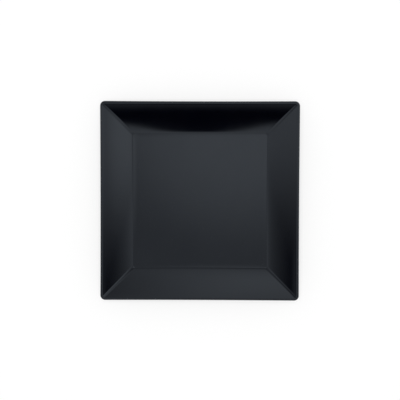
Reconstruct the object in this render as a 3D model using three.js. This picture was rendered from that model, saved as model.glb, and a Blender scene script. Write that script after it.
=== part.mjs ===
// Square fruit plate of glazed stoneware, in millimetres, +Z up.
// The origin is the middle of the plate, on the plane that its foot ring stands on.
// The plate is one fired clay body under two coats of black glaze. The bare face of the foot ring
// parts the coats: one runs from the well over the lip and down to the outside of the foot,
// the other lines the recess inside the foot. Each coat lies face to face on the clay.
import * as THREE from "three";

// Outline and lip
const SIDE = 200; // across the finished plate, from corner line to corner line
const CORNER_RADIUS = 5; // of the outline, seen from above
const LIP_DRAW_IN = 0.3; // how far the middle of each side lies inside its ends
const LIP_THICKNESS = 4; // of the full-round lip, with its glaze
const HEIGHT = 24; // from the foot's standing face to the crown of the lip

// Wall and well
const WALL_RUN = 31.5; // from the floor to the outer edge of the lip, across the middle of a side
const WALL_STEEPENING = 11; // degrees by which the wall at the lip is steeper than on average
const COVE_PULL = 0.06; // share of the wall's length that holds it to the floor's direction
const LIP_PULL = 0.44; // share of the wall's length that holds it to the lip's direction
const FLOOR_CORNER_RADIUS = 3; // of the floor's outline, where the corner creases fade out
const FLOOR_DRAW_IN = 0.5; // how far the floor's sides bow in at their middles
const FLOOR_THICKNESS = 4.2; // of the clay between the well and the underside

// Foot ring
const FOOT_INSET = 6; // from the floor's edge in to the outer face of the foot
const FOOT_WIDTH = 5; // of the ring, from its outer face to its inner face
const FOOT_HEIGHT = 3.2; // from the standing face to the underside
const FOOT_CORNER_RADIUS = 14; // of the ring's outer face, seen from above
const FOOT_DRAW_IN = 0.5; // how far the ring's sides bow in at their middles
const FOOT_FILLET = 1.2; // between the ring's faces and the underside
const FOOT_EDGE_RADIUS = 0.6; // on both edges of the standing face
const BARE_BAND = 1.2; // clay left bare of glaze, up from the standing face

// Glaze
const GLAZE_THICKNESS = 0.4;

// Facets
const CORNER_STEPS = 5; // of each corner of a level ring
const SIDE_STEPS = 6; // of each side of a level ring
const WALL_STEPS = 10;
const LIP_STEPS = 8;
const FILLET_STEPS = 3;

const UP = Math.PI / 2;
const DOWN = -Math.PI / 2;
const OUTWARD = 0;
const INWARD = Math.PI;

// What follows from the driving dimensions, on the bare clay
const lipReach = SIDE / 2 - LIP_DRAW_IN - GLAZE_THICKNESS;
const lipCorner = CORNER_RADIUS - GLAZE_THICKNESS;
const lipRadius = LIP_THICKNESS / 2 - GLAZE_THICKNESS;
const lipCentre = new THREE.Vector2(lipReach - lipRadius, HEIGHT - GLAZE_THICKNESS - lipRadius);
const floorEdge = new THREE.Vector2(SIDE / 2 - LIP_DRAW_IN - WALL_RUN, FOOT_HEIGHT + FLOOR_THICKNESS);
const footOuter = floorEdge.x - FOOT_INSET;
const footInner = footOuter - FOOT_WIDTH;
const footFillet = Math.min(FOOT_FILLET, (FOOT_HEIGHT - BARE_BAND) * 0.8);

// A station is one level ring of a surface: its reach from the axis at the middle of a side, its height,
// its corner radius, how far its sides draw in, and which way the surface faces in the section.
function station(reach, height, corner, drawIn, facing) {
  return { reach, height, corner, drawIn, facing };
}

// The same ring moved out from the clay by the thickness of the glaze
function coated({ reach, height, corner, drawIn, facing }) {
  const out = GLAZE_THICKNESS * Math.cos(facing);
  const up = GLAZE_THICKNESS * Math.sin(facing);
  return station(reach + out, height + up, corner + out, drawIn, facing);
}

// Stations of an arc in the section. A hollow arc faces its own centre.
function arc(centre, radius, from, to, steps, ringOf, hollow = false) {
  const stations = [];
  for (let i = 0; i <= steps; i++) {
    const angle = THREE.MathUtils.lerp(from, to, i / steps);
    const reach = centre.x + radius * Math.cos(angle);
    const { corner, drawIn } = ringOf(reach);
    const facing = hollow ? angle + Math.PI : angle;
    stations.push(station(reach, centre.y + radius * Math.sin(angle), corner, drawIn, facing));
  }
  return stations;
}

// Rings of the lip and of the foot keep even gaps to their own outline, at the corners too.
function lipRing(reach) {
  return { corner: lipCorner + reach - lipReach, drawIn: LIP_DRAW_IN };
}

function footRing(reach) {
  return { corner: FOOT_CORNER_RADIUS + reach - footOuter, drawIn: FOOT_DRAW_IN };
}

// Wall: a hollow curve from the flat floor up to the lip. Its rings change from the floor's bowed
// outline to the lip's straight one, and the crease between two walls sharpens towards the lip.
function wallStations() {
  const chord = lipCentre.clone().sub(floorEdge);
  const steepness = chord.angle() + THREE.MathUtils.degToRad(WALL_STEEPENING);
  const along = new THREE.Vector2(Math.cos(steepness), Math.sin(steepness));
  const lipEdge = lipCentre.clone().add(new THREE.Vector2(-along.y, along.x).multiplyScalar(lipRadius));
  const curve = new THREE.CubicBezierCurve(
    floorEdge,
    new THREE.Vector2(floorEdge.x + COVE_PULL * chord.length(), floorEdge.y),
    lipEdge.clone().addScaledVector(along, -LIP_PULL * chord.length()),
    lipEdge,
  );
  const lipInnerCorner = lipRing(lipEdge.x).corner;
  const inside = [];
  const outside = [];
  for (let i = 0; i <= WALL_STEPS; i++) {
    const share = i / WALL_STEPS;
    const point = curve.getPoint(share);
    const facing = curve.getTangent(share).angle() + UP;
    const run = (point.x - floorEdge.x) / (lipEdge.x - floorEdge.x);
    const drawIn = THREE.MathUtils.lerp(FLOOR_DRAW_IN, LIP_DRAW_IN, run);
    const corner = THREE.MathUtils.lerp(lipInnerCorner, FLOOR_CORNER_RADIUS, 1 - run);
    const thickness = THREE.MathUtils.lerp(FLOOR_THICKNESS, 2 * lipRadius, share);
    const out = -thickness * Math.cos(facing);
    const below = point.y - thickness * Math.sin(facing);
    inside.push(station(point.x, point.y, corner, drawIn, facing));
    outside.unshift(station(point.x + out, below, corner + out, drawIn, facing + Math.PI));
  }
  return { inside, outside, steepness };
}

function lipStations(steepness) {
  const turn = arc(lipCentre, lipRadius, UP + steepness, DOWN + steepness, LIP_STEPS, lipRing);
  return turn.slice(1, -1); // its two ends are the ends of the walls
}

// Clay surface under the main coat, from the middle of the well to the glaze line outside the foot
function mainClay() {
  const { inside, outside, steepness } = wallStations();
  const filletCentre = new THREE.Vector2(footOuter + footFillet, FOOT_HEIGHT - footFillet);
  const { corner, drawIn } = footRing(footOuter);
  return [
    station(0, floorEdge.y, 0, 0, UP),
    ...inside,
    ...lipStations(steepness),
    ...outside,
    ...arc(filletCentre, footFillet, UP, Math.PI, FILLET_STEPS, footRing, true),
    station(footOuter, BARE_BAND, corner, drawIn, OUTWARD),
  ];
}

// Bare clay of the foot, between the two glaze lines
function footClay() {
  const edge = FOOT_EDGE_RADIUS;
  const outerCentre = new THREE.Vector2(footOuter - edge, edge);
  const innerCentre = new THREE.Vector2(footInner + edge, edge);
  return [
    ...arc(outerCentre, edge, OUTWARD, DOWN, FILLET_STEPS, footRing),
    ...arc(innerCentre, edge, DOWN, -Math.PI, FILLET_STEPS, footRing),
  ];
}

// Clay surface under the recess coat, from the glaze line inside the foot to the middle of the underside
function recessClay() {
  const filletCentre = new THREE.Vector2(footInner - footFillet, FOOT_HEIGHT - footFillet);
  const { corner, drawIn } = footRing(footInner);
  return [
    station(footInner, BARE_BAND, corner, drawIn, INWARD),
    ...arc(filletCentre, footFillet, OUTWARD, UP, FILLET_STEPS, footRing, true),
    station(0, FOOT_HEIGHT, 0, 0, DOWN),
  ];
}

// Points of a level ring, anticlockwise from above: a rounded square whose sides are bowed in
function ringPoints({ reach, height, corner, drawIn }) {
  const half = reach + drawIn;
  const straight = half - corner;
  const square = [];
  for (let quarter = 0; quarter < 4; quarter++) {
    const start = quarter * UP;
    const turned = new THREE.Vector2();
    for (let i = 0; i <= CORNER_STEPS; i++) {
      const angle = (i / CORNER_STEPS) * UP;
      turned.set(straight + corner * Math.cos(angle), straight + corner * Math.sin(angle));
      square.push(turned.clone().rotateAround(new THREE.Vector2(), start));
    }
    for (let i = 1; i < SIDE_STEPS; i++) {
      const along = THREE.MathUtils.lerp(straight, -straight, i / SIDE_STEPS);
      square.push(new THREE.Vector2(along, half).rotateAround(new THREE.Vector2(), start));
    }
  }
  const bow = (across) => 1 - (drawIn / half) * (1 - (across / half) ** 2);
  return square.map(({ x, y }) => new THREE.Vector3(x * bow(y), y * bow(x), height));
}

// Closed surface through the stations, which start and end on the axis and run outside, top to bottom.
// Each four-sided patch is cut along its shorter diagonal, so two pieces that share rings share facets.
function loft(stations) {
  const rings = stations.slice(1, -1).map(ringPoints);
  const count = rings[0].length;
  const top = new THREE.Vector3(0, 0, stations.at(0).height);
  const bottom = new THREE.Vector3(0, 0, stations.at(-1).height);
  const points = [top, ...rings.flat(), bottom];
  const at = (ring, step) => 1 + ring * count + (step % count);
  const faces = [];
  for (let step = 0; step < count; step++) {
    faces.push(0, at(0, step), at(0, step + 1));
    for (let ring = 0; ring < rings.length - 1; ring++) {
      const [a, b] = [at(ring, step), at(ring, step + 1)];
      const [d, c] = [at(ring + 1, step), at(ring + 1, step + 1)];
      const acrossA = points[a].distanceTo(points[c]);
      const acrossB = points[b].distanceTo(points[d]);
      faces.push(...(acrossA < acrossB ? [a, d, c, a, c, b] : [a, d, b, d, c, b]));
    }
    faces.push(at(rings.length - 1, step), points.length - 1, at(rings.length - 1, step + 1));
  }
  const geometry = new THREE.BufferGeometry().setFromPoints(points).setIndex(faces);
  geometry.computeVertexNormals();
  return geometry;
}

function piece(name, stations, material) {
  const mesh = new THREE.Mesh(loft(stations), material);
  mesh.name = name;
  return mesh;
}

const firedClay = new THREE.MeshStandardMaterial({ color: 0xa89a88, roughness: 0.9, metalness: 0 });
const blackGlaze = new THREE.MeshStandardMaterial({ color: 0x08090c, roughness: 0.3, metalness: 0 });

const main = mainClay();
const foot = footClay();
const recess = recessClay();

const plate = new THREE.Group();
plate.name = "square_fruit_plate";
plate.add(
  piece("stoneware_body", [...main, ...foot, ...recess], firedClay),
  piece("main_glaze", [...main.map(coated), ...main.toReversed()], blackGlaze),
  piece("recess_glaze", [...recess.toReversed(), ...recess.map(coated)], blackGlaze.clone()),
);

export default plate;
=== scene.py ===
import math
from collections import namedtuple

import bpy
from mathutils import Matrix, Quaternion, Vector


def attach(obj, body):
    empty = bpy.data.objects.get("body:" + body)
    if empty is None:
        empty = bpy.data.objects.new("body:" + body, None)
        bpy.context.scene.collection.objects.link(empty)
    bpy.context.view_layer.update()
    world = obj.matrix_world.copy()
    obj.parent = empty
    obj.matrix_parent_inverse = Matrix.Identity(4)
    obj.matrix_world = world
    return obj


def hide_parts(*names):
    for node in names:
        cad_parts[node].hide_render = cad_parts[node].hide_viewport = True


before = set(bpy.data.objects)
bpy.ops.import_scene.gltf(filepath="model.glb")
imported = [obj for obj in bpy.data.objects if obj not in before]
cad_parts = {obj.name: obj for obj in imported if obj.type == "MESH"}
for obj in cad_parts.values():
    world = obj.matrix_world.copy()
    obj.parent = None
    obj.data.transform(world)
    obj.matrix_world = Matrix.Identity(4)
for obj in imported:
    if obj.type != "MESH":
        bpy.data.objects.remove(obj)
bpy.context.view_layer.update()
print("frame loaded:", ", ".join(sorted(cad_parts)))

mm = 0.001
scene = bpy.context.scene
quarterTurn = math.pi / 2

# A level ring is one contour of a surface, in millimetres: reach from the axis at the middle of a side,
# height, corner radius, how far its sides draw in, which way the surface faces in the section,
# and how far the ring wanders up and down.
levelRing = namedtuple("levelRing", "reach height corner drawIn facing wander", defaults=(0.0,))

# The pressed plate in millimetres, the same sizes as the solid model
plate = dict(
    side=200.0,  # across the plate, from corner line to corner line
    cornerRadius=5.0,
    lipDrawIn=0.3,
    lipThickness=4.0,
    height=24.0,
    wallRun=31.5,  # floor's edge to the lip's outer edge
    wallSteepening=11.0,  # degrees
    covePull=0.06,  # shares of the wall's length that hold it to the floor's and the lip's direction
    lipPull=0.44,
    floorCorner=3.0,
    floorDrawIn=0.5,
    floorThickness=4.2,
)
foot = dict(
    inset=6.0,  # from the floor's edge
    width=5.0,
    height=3.2,
    corner=14.0,
    drawIn=0.5,
    fillet=1.2,
    edge=0.6,
    bareBand=1.2,  # wiped clean of glaze before firing
)
glaze = dict(
    thickness=0.4,
    bead=0.25,  # share by which the glaze swells just above its edge
    beadHeight=0.5,
    beadWidth=0.35,
    edgeRound=0.45,  # height over which the edge rounds off to nothing
    wander=0.16,  # how far the wiped line strays up and down
    waves=((0.6, 3, 0.4), (0.5, 8, 2.1), (0.3, 19, 0.0)),  # of that line: share, count around, phase
)
# How finely the surfaces are divided. What lies hidden under the glaze needs fewer rings.
steps = dict(corner=12, side=36, floor=16, wall=44, lip=26, fillet=8, band=12)
hiddenSteps = dict(floor=2, wall=12, lip=8, band=2)
middleRoundness = 0.8  # how round the rings in the middle of a flat face are

lipReach = plate["side"] / 2 - plate["lipDrawIn"] - glaze["thickness"]
lipCorner = plate["cornerRadius"] - glaze["thickness"]
lipRadius = plate["lipThickness"] / 2 - glaze["thickness"]
lipCentre = Vector((lipReach - lipRadius, plate["height"] - glaze["thickness"] - lipRadius))
floorReach = plate["side"] / 2 - plate["lipDrawIn"] - plate["wallRun"]
floorEdge = Vector((floorReach, foot["height"] + plate["floorThickness"]))
footOuter = floorEdge.x - foot["inset"]
footInner = footOuter - foot["width"]


def mix(a, b, share):
    return a + (b - a) * share


# Corner radius and draw of rings that keep even gaps to the outline of the lip or of the foot
def lipRing(reach):
    return lipCorner + reach - lipReach, plate["lipDrawIn"]


def footRing(reach):
    return foot["corner"] + reach - footOuter, foot["drawIn"]


# Rings of an arc in the section. A hollow arc faces its own centre.
def arcRings(centre, radius, start, end, count, ringAt, hollow=False):
    rings = []
    for i in range(count + 1):
        angle = mix(start, end, i / count)
        reach = centre.x + radius * math.cos(angle)
        corner, drawIn = ringAt(reach)
        facing = angle + math.pi if hollow else angle
        rings.append(levelRing(reach, centre.y + radius * math.sin(angle), corner, drawIn, facing))
    return rings


# Rings of a flat face out to its edge: they turn from near circles in the middle to the edge's outline.
def flatRings(edge, span, facing, count):
    rings = []
    for i in range(count):
        share = i / count
        roundness = middleRoundness * span * share * (1 - share ** 2)
        corner = edge.corner * share ** 2 + roundness
        rings.append(levelRing(edge.reach * share, edge.height, corner, edge.drawIn * share ** 3, facing))
    return rings


# Upright face of the foot between its fillet and the wiped line, with rings closer together near the line
def bandRings(reach, facing, count):
    corner, drawIn = footRing(reach)
    top = foot["height"] - foot["fillet"]
    rings = []
    for i in range(1, count + 1):
        share = 1 - (1 - i / count) ** 2
        wander = glaze["wander"] * share
        rings.append(levelRing(reach, mix(top, foot["bareBand"], share), corner, drawIn, facing, wander))
    return rings


# Inside and outside of the wall: a hollow curve from the floor to the lip, thinning as it rises
def wallRings(count):
    chord = lipCentre - floorEdge
    steepness = math.atan2(chord.y, chord.x) + math.radians(plate["wallSteepening"])
    along = Vector((math.cos(steepness), math.sin(steepness)))
    lipEdge = lipCentre + Vector((-along.y, along.x)) * lipRadius
    knots = [
        floorEdge,
        floorEdge + Vector((plate["covePull"] * chord.length, 0)),
        lipEdge - along * plate["lipPull"] * chord.length,
        lipEdge,
    ]
    lipInnerCorner = lipRing(lipEdge.x)[0]
    inside, outside = [], []
    for i in range(count + 1):
        t = i / count
        s = 1 - t
        point = knots[0] * s ** 3 + knots[1] * 3 * s * s * t + knots[2] * 3 * s * t * t + knots[3] * t ** 3
        slope = (
            (knots[1] - knots[0]) * s * s
            + (knots[2] - knots[1]) * 2 * s * t
            + (knots[3] - knots[2]) * t * t
        )
        facing = math.atan2(slope.y, slope.x) + quarterTurn
        run = (point.x - floorEdge.x) / (lipEdge.x - floorEdge.x)
        drawIn = mix(plate["floorDrawIn"], plate["lipDrawIn"], run)
        corner = mix(plate["floorCorner"], lipInnerCorner, run)
        thickness = mix(plate["floorThickness"], 2 * lipRadius, t)
        out = -thickness * math.cos(facing)
        below = point.y - thickness * math.sin(facing)
        inside.append(levelRing(point.x, point.y, corner, drawIn, facing))
        outside.insert(0, levelRing(point.x + out, below, corner + out, drawIn, facing + math.pi))
    return inside, outside, steepness


# Clay under the main coat, from the middle of the well over the lip to the wiped line outside the foot
def mainClay(counts):
    inside, outside, steepness = wallRings(counts["wall"])
    rim = inside[0]
    floor = flatRings(rim, rim.reach + rim.drawIn, quarterTurn, counts["floor"])
    lipStart, lipEnd = quarterTurn + steepness, steepness - quarterTurn
    lip = arcRings(lipCentre, lipRadius, lipStart, lipEnd, counts["lip"], lipRing)
    radius = foot["fillet"]
    centre = Vector((footOuter + radius, foot["height"] - radius))
    fillet = arcRings(centre, radius, quarterTurn, math.pi, steps["fillet"], footRing, hollow=True)
    return floor + inside + lip[1:-1] + outside + fillet + bandRings(footOuter, 0.0, counts["band"])


# Clay under the recess coat, from the middle of the underside to the wiped line inside the foot
def recessClay(counts):
    radius = foot["fillet"]
    centre = Vector((footInner - radius, foot["height"] - radius))
    fillet = arcRings(centre, radius, quarterTurn, 0.0, steps["fillet"], footRing, hollow=True)
    middle = flatRings(fillet[0], fillet[0].reach, -quarterTurn, steps["floor"])
    return middle + fillet + bandRings(footInner, math.pi, counts["band"])


# Bare clay of the foot between the two wiped lines
def footClay():
    edge = foot["edge"]
    outerCentre = Vector((footOuter - edge, edge))
    innerCentre = Vector((footInner + edge, edge))
    outer = arcRings(outerCentre, edge, 0.0, -quarterTurn, steps["fillet"], footRing)
    inner = arcRings(innerCentre, edge, -quarterTurn, -math.pi, steps["fillet"], footRing)
    face = []
    for i in range(1, steps["band"]):
        reach = mix(outer[-1].reach, inner[0].reach, i / steps["band"])
        corner, drawIn = footRing(reach)
        face.append(levelRing(reach, 0.0, corner, drawIn, -quarterTurn))
    return outer + face + inner


# The same rings moved out by the glaze, which swells into a bead and rounds off at the wiped line
def coated(rings):
    made = []
    for ring in rings:
        above = ring.height - foot["bareBand"]
        swell = 1 + glaze["bead"] * math.exp(-((above - glaze["beadHeight"]) / glaze["beadWidth"]) ** 2)
        rounding = math.sqrt(1 - (1 - min(max(above, 0) / glaze["edgeRound"], 1)) ** 2)
        thickness = glaze["thickness"] * swell * rounding
        out = thickness * math.cos(ring.facing)
        up = thickness * math.sin(ring.facing)
        made.append(ring._replace(reach=ring.reach + out, height=ring.height + up, corner=ring.corner + out))
    return made


# Points of one ring, anticlockwise from above: a rounded square whose sides bow in
def ringPoints(ring):
    half = ring.reach + ring.drawIn
    straight = half - ring.corner
    quarter = []
    for i in range(steps["corner"] + 1):
        angle = i / steps["corner"] * quarterTurn
        quarter.append((straight + ring.corner * math.cos(angle), straight + ring.corner * math.sin(angle)))
    for i in range(1, steps["side"]):  # closer together near the corners
        quarter.append((straight * math.cos(i / steps["side"] * math.pi), half))

    def bow(across):
        return 1 - ring.drawIn / half * (1 - (across / half) ** 2)

    points = []
    for c, s in ((1, 0), (0, 1), (-1, 0), (0, -1)):
        for px, py in quarter:
            x, y = px * c - py * s, px * s + py * c
            angle = math.atan2(y, x)
            stray = sum(share * math.sin(count * angle + phase) for share, count, phase in glaze["waves"])
            points.append((x * bow(y) * mm, y * bow(x) * mm, (ring.height + ring.wander * stray) * mm))
    return points


# Closed surface through rings that start and end on the axis
def loft(name, rings):
    contours = [ringPoints(ring) for ring in rings[1:-1]]
    count = len(contours[0])
    points = [(0, 0, rings[0].height * mm)]
    for contour in contours:
        points += contour
    points.append((0, 0, rings[-1].height * mm))
    faces = []
    for j in range(count):
        k = (j + 1) % count
        faces.append((0, 1 + j, 1 + k))
        for i in range(len(contours) - 1):
            a = 1 + i * count
            faces.append((a + j, a + count + j, a + count + k, a + k))
        last = 1 + (len(contours) - 1) * count
        faces.append((last + j, len(points) - 1, last + k))
    mesh = bpy.data.meshes.new(name)
    mesh.from_pydata(points, [], faces)
    mesh.validate()
    mesh.shade_smooth()
    piece = bpy.data.objects.new(name, mesh)
    scene.collection.objects.link(piece)
    return piece


main = mainClay(steps)
recess = recessClay(steps)
hidden = mainClay(hiddenSteps)
hiddenRecess = recessClay(hiddenSteps)

# The last ring of a coat lies on the clay, so its outer and inner skins meet there.
mainCoat = loft("main_coat", coated(main) + main[-2::-1])
recessCoat = loft("recess_coat", hiddenRecess[:1] + recess[1:-1] + coated(recess)[::-1])
clayBody = loft("clay_body", hidden[:-2] + footClay() + hiddenRecess[-3::-1])
for piece, node, slot in (
    (mainCoat, "main_glaze", "black_glaze"),
    (recessCoat, "recess_glaze", "black_glaze"),
    (clayBody, "stoneware_body", "bare_stoneware"),
):
    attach(piece, "root")
    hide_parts(node)
    print("piece made:", piece.name, len(piece.data.polygons), "faces")


# sRGB hex to linear colour
def colour(hexCode):
    channels = [int(hexCode[i:i + 2], 16) / 255 for i in (1, 3, 5)]
    return [c / 12.92 if c <= 0.04045 else ((c + 0.055) / 1.055) ** 2.4 for c in channels] + [1.0]


# Adds a node with its settings. Inputs are values or the sockets that feed them.
def addNode(tree, kind, inputs=None, **settings):
    node = tree.nodes.new(kind)
    for name, value in settings.items():
        setattr(node, name, value)
    for name, value in (inputs or {}).items():
        if isinstance(value, bpy.types.NodeSocket):
            tree.links.new(value, node.inputs[name])
        else:
            node.inputs[name].default_value = value
    return node


# A Mix node's inputs for values and for colours have the same names, so they go by number.
valueA, valueB, colourA, colourB = 2, 3, 6, 7
colourOut = 2


# Noise scale for features of a real size in millimetres
def perMetre(sizeMm):
    return 1 / (sizeMm * mm)


def newMaterial(name):
    material = bpy.data.materials.new(name)
    material.use_nodes = True
    material.node_tree.nodes.clear()
    return material, material.node_tree


# Satin black stoneware glaze, dipped and fired: a glassy skin over iron-black colour. It looks black with
# a soft cool shine, and its melt leaves a faint ripple and small changes of gloss.
satinBlackGlaze = dict(
    black="#000107",
    warmBlack="#030307",
    mottleMm=28.0,
    mottleDetail=4.0,
    ior=1.5,
    shineTint="#e6f2ff",
    roughnessLow=0.09,
    roughnessHigh=0.13,
    glossPatchMm=22.0,
    glossDetail=5.0,
    glossBreakup=0.6,
    glossFrom=0.3,  # part of the noise that is spread between the two roughnesses
    glossTo=0.7,
    rippleMm=3.2,  # the melt's real ripple is near 1.5 mm, drawn coarser so that it shows
    rippleDetail=2.0,
    rippleHeight=0.004,
    rollMm=34.0,  # slow unevenness of the dipped coat
    rollDetail=1.0,
    rollHeight=0.03,
)


def makeGlaze(spec):
    material, tree = newMaterial("satin_black_stoneware_glaze")
    place = addNode(tree, "ShaderNodeTexCoord").outputs["Object"]
    mottle = addNode(tree, "ShaderNodeTexNoise", {
        "Vector": place, "Scale": perMetre(spec["mottleMm"]), "Detail": spec["mottleDetail"],
    })
    black = addNode(tree, "ShaderNodeMix", {
        "Factor": mottle.outputs["Fac"], colourA: colour(spec["black"]), colourB: colour(spec["warmBlack"]),
    }, data_type="RGBA")
    gloss = addNode(tree, "ShaderNodeTexNoise", {
        "Vector": place, "Scale": perMetre(spec["glossPatchMm"]),
        "Detail": spec["glossDetail"], "Roughness": spec["glossBreakup"],
    })
    roughness = addNode(tree, "ShaderNodeMapRange", {
        "Value": gloss.outputs["Fac"], "From Min": spec["glossFrom"], "From Max": spec["glossTo"],
        "To Min": spec["roughnessLow"], "To Max": spec["roughnessHigh"],
    })
    ripple = addNode(tree, "ShaderNodeTexNoise", {
        "Vector": place, "Scale": perMetre(spec["rippleMm"]), "Detail": spec["rippleDetail"],
    })
    roll = addNode(tree, "ShaderNodeTexNoise", {
        "Vector": place, "Scale": perMetre(spec["rollMm"]), "Detail": spec["rollDetail"],
    })
    rolling = addNode(tree, "ShaderNodeBump", {
        "Height": roll.outputs["Fac"], "Strength": 1.0, "Distance": spec["rollHeight"] * mm,
    })
    rippled = addNode(tree, "ShaderNodeBump", {
        "Height": ripple.outputs["Fac"], "Strength": 1.0, "Distance": spec["rippleHeight"] * mm,
        "Normal": rolling.outputs["Normal"],
    })
    shader = addNode(tree, "ShaderNodeBsdfPrincipled", {
        "Base Color": black.outputs[colourOut], "Roughness": roughness.outputs["Result"],
        "Normal": rippled.outputs["Normal"], "IOR": spec["ior"], "Specular Tint": colour(spec["shineTint"]),
    })
    addNode(tree, "ShaderNodeOutputMaterial", {"Surface": shader.outputs["BSDF"]})
    return material


# Buff stoneware clay, fired bare: dry and matt, clouded, with dark and pale grains of grog in it
# and a gritty surface.
buffStoneware = dict(
    clay="#a89a88",
    darkClay="#8d7f6e",
    paleGrog="#cfc4b2",
    darkGrog="#4f463c",
    cloudMm=14.0,
    cloudDetail=5.0,
    grogMm=1.6,  # grains are near 0.5 mm, drawn coarser so that they show
    darkFrom=0.86,  # a cell whose random value is above this holds a dark grain, or likewise a pale one
    paleFrom=0.82,
    grainCore=0.25,  # a grain fades between these shares of its cell
    grainEdge=0.4,
    grainStrength=0.8,
    gritMm=0.9,
    gritDetail=4.0,
    gritHeight=0.05,
    ior=1.5,
    roughness=0.9,
)


def makeBareClay(spec):
    material, tree = newMaterial("buff_stoneware_bare")
    place = addNode(tree, "ShaderNodeTexCoord").outputs["Object"]
    cloud = addNode(tree, "ShaderNodeTexNoise", {
        "Vector": place, "Scale": perMetre(spec["cloudMm"]), "Detail": spec["cloudDetail"],
    })
    speckled = addNode(tree, "ShaderNodeMix", {
        "Factor": cloud.outputs["Fac"], colourA: colour(spec["clay"]), colourB: colour(spec["darkClay"]),
    }, data_type="RGBA")
    cells = addNode(tree, "ShaderNodeTexVoronoi", {"Vector": place, "Scale": perMetre(spec["grogMm"])})
    pick = addNode(tree, "ShaderNodeSeparateColor", {"Color": cells.outputs["Color"]})
    grain = addNode(tree, "ShaderNodeMapRange", {
        "Value": cells.outputs["Distance"], "From Min": spec["grainCore"], "From Max": spec["grainEdge"],
        "To Min": spec["grainStrength"], "To Max": 0.0,
    })
    for channel, least, tone in (
        ("Red", spec["darkFrom"], spec["darkGrog"]),
        ("Green", spec["paleFrom"], spec["paleGrog"]),
    ):
        chosen = addNode(tree, "ShaderNodeMath", {
            0: pick.outputs[channel], 1: least,
        }, operation="GREATER_THAN")
        spot = addNode(tree, "ShaderNodeMath", {
            0: chosen.outputs[0], 1: grain.outputs["Result"],
        }, operation="MULTIPLY")
        speckled = addNode(tree, "ShaderNodeMix", {
            "Factor": spot.outputs[0], colourA: speckled.outputs[colourOut], colourB: colour(tone),
        }, data_type="RGBA")
    grit = addNode(tree, "ShaderNodeTexNoise", {
        "Vector": place, "Scale": perMetre(spec["gritMm"]), "Detail": spec["gritDetail"],
    })
    rough = addNode(tree, "ShaderNodeBump", {
        "Height": grit.outputs["Fac"], "Strength": 1.0, "Distance": spec["gritHeight"] * mm,
    })
    shader = addNode(tree, "ShaderNodeBsdfPrincipled", {
        "Base Color": speckled.outputs[colourOut], "Roughness": spec["roughness"], "IOR": spec["ior"],
        "Normal": rough.outputs["Normal"],
    })
    addNode(tree, "ShaderNodeOutputMaterial", {"Surface": shader.outputs["BSDF"]})
    return material


blackGlaze = makeGlaze(satinBlackGlaze)
bareClay = makeBareClay(buffStoneware)
mainCoat.data.materials.append(blackGlaze)
recessCoat.data.materials.append(blackGlaze)
clayBody.data.materials.append(bareClay)
print("materials made:", blackGlaze.name, bareClay.name)

# Studio: the plate stands on white paper, under one soft lamp, in a white surround
studio = dict(
    paper="#ffffff",
    paperGlow=0.55,  # share of the paper that shows as plain white, so the rest keeps the shadow
    paperSize=12.0,
    surround="#ffffff",
    fill=0.55,  # light of the surround on matt surfaces
    lampAt=(0.0, 0.05, 1.5),
    lampSize=0.8,
    lampWatts=12.0,
)
# What the glaze mirrors: a pale tent with lighter and darker patches.
# Angles are degrees, round from the south by the east, and up from the horizon.
tent = dict(
    level=0.97,
    patches=(
        dict(around=163, up=82, reach=14, strength=0.75),  # lamp overhead
        dict(around=-179, up=83, reach=32, strength=-0.42),  # shade around the lamp
        dict(around=99, up=45, reach=18, strength=0.39),  # east panel
        dict(around=-178, up=45, reach=20, strength=0.18),  # north panel
        dict(around=166, up=63, reach=23, strength=-0.26),  # gap between the lamp and the north panel
        dict(around=-141, up=32, reach=37, strength=-0.93),  # dim north-west side of the room
    ),
)
# The tent's dark opening, low in the south. Its upper outline has a tongue in the middle,
# a valley on both sides of it and a soft shoulder further round. Blurs are half widths.
opening = dict(
    middle=-1.4,
    tongueCore=2.8,  # from the middle to where the tongue's outline starts to fall
    tongueFoot=10.3,  # from the middle to where it reaches the valley
    tongueTop=53.0,
    valley=39.0,
    tongueBlur=3.8,
    shoulderFrom=25.0,
    shoulderTo=70.0,
    shoulder=45.5,
    shoulderBlur=24.0,
    lowest=19.6,  # its lower outline
    lowBlur=12.0,
    sides=88.0,  # from the middle to its two ends
    sideBlur=10.0,
)


# White paper for the floor: matt, so it keeps the plate's shadow, and partly plain white to the camera
# and in what the glaze mirrors.
def makePaper(spec):
    material, tree = newMaterial("white_background_paper")
    path = addNode(tree, "ShaderNodeLightPath")
    seen = path.outputs["Is Camera Ray"]
    for ray in ("Is Glossy Ray", "Is Transmission Ray"):
        either = addNode(tree, "ShaderNodeMath", {0: seen, 1: path.outputs[ray]}, operation="MAXIMUM")
        seen = either.outputs[0]
    glow = addNode(tree, "ShaderNodeMath", {0: seen, 1: spec["paperGlow"]}, operation="MULTIPLY")
    matt = addNode(tree, "ShaderNodeBsdfDiffuse", {"Color": colour(spec["paper"])})
    white = addNode(tree, "ShaderNodeEmission", {"Color": colour(spec["paper"]), "Strength": 1.0})
    blend = addNode(tree, "ShaderNodeMixShader", {
        0: glow.outputs[0], 1: matt.outputs[0], 2: white.outputs[0],
    })
    addNode(tree, "ShaderNodeOutputMaterial", {"Surface": blend.outputs[0]})
    return material


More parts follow.
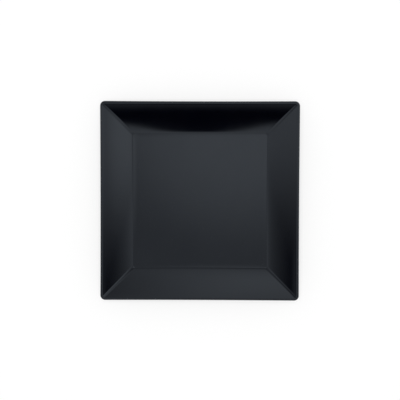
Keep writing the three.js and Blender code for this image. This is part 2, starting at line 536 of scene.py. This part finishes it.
# Brightness of the tent towards a direction
def addPatches(tree, toward, spec):
    level = spec["level"]
    for patch in spec["patches"]:
        around, up = math.radians(patch["around"]), math.radians(patch["up"])
        middle = (math.sin(around) * math.cos(up), -math.cos(around) * math.cos(up), math.sin(up))
        near = addNode(tree, "ShaderNodeVectorMath", {0: toward, 1: middle}, operation="DOT_PRODUCT")
        glow = addNode(tree, "ShaderNodeMapRange", {
            "Value": near.outputs["Value"],
            "From Min": math.cos(math.radians(patch["reach"])), "From Max": 1.0,
            "To Max": patch["strength"],
        }, interpolation_type="SMOOTHSTEP")
        total = addNode(tree, "ShaderNodeMath", {0: glow.outputs["Result"], 1: level}, operation="ADD")
        level = total.outputs[0]
    return addNode(tree, "ShaderNodeMath", {0: level, 1: 0.0}, operation="MAXIMUM").outputs[0]


# 0 inside the dark opening and 1 outside it
def addOpening(tree, toward, spec):
    axes = addNode(tree, "ShaderNodeSeparateXYZ", {0: toward})
    south = addNode(tree, "ShaderNodeMath", {0: axes.outputs["Y"], 1: -1.0}, operation="MULTIPLY")
    turn = addNode(tree, "ShaderNodeMath", {0: axes.outputs["X"], 1: south.outputs[0]}, operation="ARCTAN2")
    around = addNode(tree, "ShaderNodeMath", {0: turn.outputs[0]}, operation="DEGREES")
    rise = addNode(tree, "ShaderNodeMath", {0: axes.outputs["Z"]}, operation="ARCSINE")
    up = addNode(tree, "ShaderNodeMath", {0: rise.outputs[0]}, operation="DEGREES")
    offset = addNode(tree, "ShaderNodeMath", {0: around.outputs[0], 1: spec["middle"]}, operation="SUBTRACT")
    aside = addNode(tree, "ShaderNodeMath", {0: offset.outputs[0]}, operation="ABSOLUTE")
    tongue = addNode(tree, "ShaderNodeMapRange", {
        "Value": aside.outputs[0], "From Min": spec["tongueCore"], "From Max": spec["tongueFoot"],
        "To Min": spec["tongueTop"], "To Max": spec["valley"],
    }, interpolation_type="SMOOTHSTEP")
    far = addNode(tree, "ShaderNodeMapRange", {
        "Value": aside.outputs[0], "From Min": spec["shoulderFrom"], "From Max": spec["shoulderTo"],
    }, interpolation_type="SMOOTHSTEP")
    edge = addNode(tree, "ShaderNodeMath", {
        0: far.outputs["Result"], 1: spec["shoulder"] - spec["valley"], 2: tongue.outputs["Result"],
    }, operation="MULTIPLY_ADD")
    blur = addNode(tree, "ShaderNodeMath", {
        0: far.outputs["Result"], 1: spec["shoulderBlur"] - spec["tongueBlur"], 2: spec["tongueBlur"],
    }, operation="MULTIPLY_ADD")
    over = addNode(tree, "ShaderNodeMath", {0: up.outputs[0], 1: edge.outputs[0]}, operation="SUBTRACT")
    share = addNode(tree, "ShaderNodeMath", {0: over.outputs[0], 1: blur.outputs[0]}, operation="DIVIDE")
    light = addNode(tree, "ShaderNodeMapRange", {
        "Value": share.outputs[0], "From Min": -1.0, "From Max": 1.0,
    }, interpolation_type="SMOOTHSTEP").outputs["Result"]
    for angle, limit, blurred, lightUnder, lightOver in (
        (up.outputs[0], spec["lowest"], spec["lowBlur"], 1.0, 0.0),
        (aside.outputs[0], spec["sides"], spec["sideBlur"], 0.0, 1.0),
    ):
        beyond = addNode(tree, "ShaderNodeMapRange", {
            "Value": angle, "From Min": limit - blurred, "From Max": limit + blurred,
            "To Min": lightUnder, "To Max": lightOver,
        }, interpolation_type="SMOOTHSTEP").outputs["Result"]
        light = addNode(tree, "ShaderNodeMath", {0: light, 1: beyond}, operation="MAXIMUM").outputs[0]
    return light


# The camera sees plain white, the glaze mirrors the tent, and matt surfaces get an even fill.
def makeSurround(spec, pale, dark):
    world = bpy.data.worlds.new("white_surround")
    world.use_nodes = True
    world.cycles.sampling_method = "NONE"  # else lamp sampling would mix the fill into what the glaze mirrors
    tree = world.node_tree
    tree.nodes.clear()
    toward = addNode(tree, "ShaderNodeTexCoord").outputs["Generated"]
    lit = addNode(tree, "ShaderNodeMath", {
        0: addPatches(tree, toward, pale), 1: addOpening(tree, toward, dark),
    }, operation="MULTIPLY")
    path = addNode(tree, "ShaderNodeLightPath")
    plain = addNode(tree, "ShaderNodeMath", {
        0: path.outputs["Is Camera Ray"], 1: path.outputs["Is Transmission Ray"],
    }, operation="MAXIMUM")
    matt = addNode(tree, "ShaderNodeMapRange", {
        "Value": plain.outputs[0], "To Min": spec["fill"], "To Max": 1.0,
    })
    strength = addNode(tree, "ShaderNodeMix", {
        "Factor": path.outputs["Is Glossy Ray"], valueA: matt.outputs["Result"], valueB: lit.outputs[0],
    })
    background = addNode(tree, "ShaderNodeBackground", {
        "Color": colour(spec["surround"]), "Strength": strength.outputs[0],
    })
    addNode(tree, "ShaderNodeOutputWorld", {"Surface": background.outputs[0]})
    scene.world = world


def makePaperSheet(spec):
    half = spec["paperSize"] / 2
    corners = [(-half, -half, 0), (half, -half, 0), (half, half, 0), (-half, half, 0)]
    mesh = bpy.data.meshes.new("paper_floor")
    mesh.from_pydata(corners, [], [(0, 1, 2, 3)])
    sheet = bpy.data.objects.new("paper_floor", mesh)
    scene.collection.objects.link(sheet)
    mesh.materials.append(makePaper(spec))


def makeSoftLamp(spec):
    lamp = bpy.data.lights.new("soft_lamp", "AREA")
    lamp.size = spec["lampSize"]
    lamp.energy = spec["lampWatts"]
    made = bpy.data.objects.new("soft_lamp", lamp)
    made.location = spec["lampAt"]
    made.visible_glossy = False  # the tent has its own lamp for the glaze to mirror
    scene.collection.objects.link(made)


makeSurround(studio, tent, opening)
makePaperSheet(studio)
makeSoftLamp(studio)
print("studio made")

# Camera almost straight above the plate, as the picture was taken, a little to the north and east.
# The shift brings the plate back to the middle of the frame.
view = dict(
    lens=58.5,
    above=0.65,  # metres over the mouth of the plate
    toEast=0.010,
    toNorth=0.013,
    leanNorth=1.56,  # degrees off the upright
    leanEast=0.38,
    roll=0.17,
    aimX=0.28,  # millimetres off the plate's axis
    aimY=1.11,
)


def makeCamera(spec):
    data = bpy.data.cameras.new("camera")
    data.lens = spec["lens"]
    camera = bpy.data.objects.new("camera", data)
    north, east = math.radians(spec["leanNorth"]), math.radians(spec["leanEast"])
    back = Vector((math.sin(east), math.sin(north) * math.cos(east), math.cos(north) * math.cos(east)))
    right = Vector((0, 1, 0)).cross(back).normalized()
    right.rotate(Quaternion(back, math.radians(spec["roll"])))
    up = back.cross(right)
    aim = Vector((spec["aimX"], spec["aimY"], plate["height"])) * mm
    camera.location = Vector((spec["toEast"], spec["toNorth"], plate["height"] * mm + spec["above"]))
    camera.rotation_euler = Matrix((right, up, back)).transposed().to_euler()
    sight = aim - camera.location
    framing = data.lens / data.sensor_width / -sight.dot(back)
    data.shift_x = sight.dot(right) * framing
    data.shift_y = sight.dot(up) * framing
    scene.collection.objects.link(camera)
    scene.camera = camera


makeCamera(view)
scene.view_settings.view_transform = "Standard"
print("camera set")
